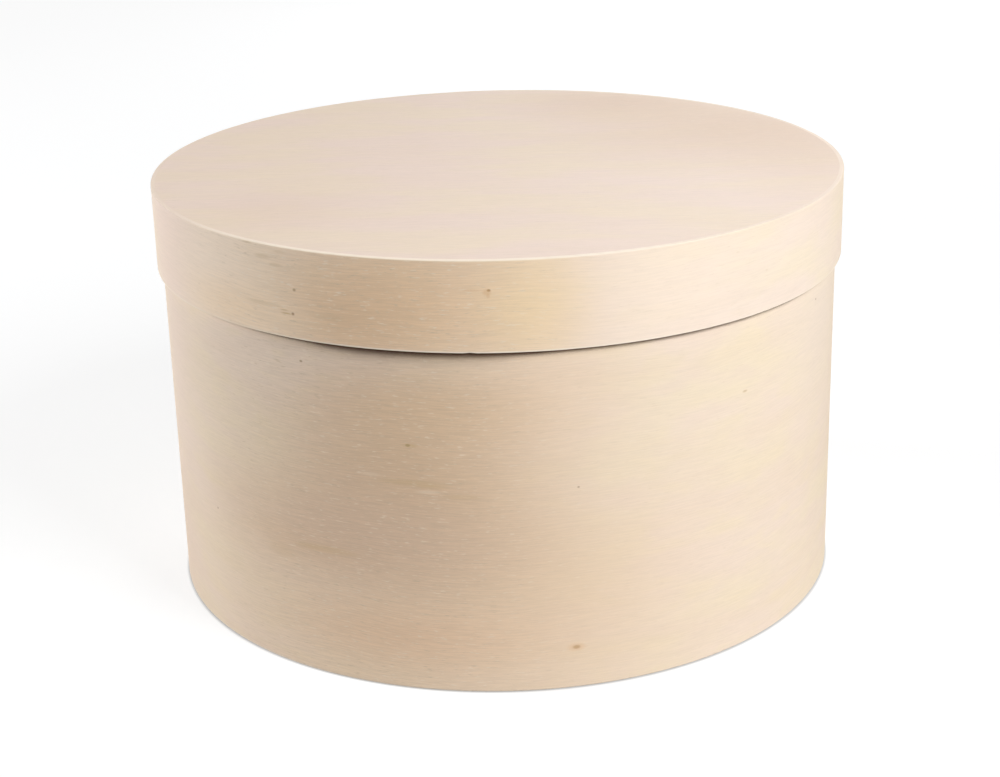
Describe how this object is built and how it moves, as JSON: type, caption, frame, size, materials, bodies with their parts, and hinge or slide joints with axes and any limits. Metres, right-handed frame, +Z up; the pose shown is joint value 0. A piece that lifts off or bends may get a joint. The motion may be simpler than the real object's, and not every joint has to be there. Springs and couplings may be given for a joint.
{
  "type": "round lidded box",
  "caption": "Round bentwood box with a flat floor and a telescoping lid that lifts straight off.",
  "frame": {"origin": "centre of the face that the box stands on", "axes": "+Z up along the box's centre line, -Y to the front, +Y to the bands' laps at the back"},
  "size_m": [0.236, 0.236, 0.142],
  "materials": {
    "disc_wood": "sanded, unfinished",
    "band_veneer": "sanded, unfinished",
    "staple_steel": "sanded flush"
  },
  "bodies": {
    "base": {"body_wall": "band_veneer", "body_floor": "disc_wood", "body_wall_staples": "staple_steel"},
    "lid": {"lid_panel": "disc_wood", "lid_rim": "band_veneer", "lid_rim_staples": "staple_steel"}
  },
  "joints": [
    {"name": "lid_lift", "type": "slide", "parent": "base", "child": "lid", "axis": [0, 0, 1], "range_m": [0, 0.1]}
  ]
}
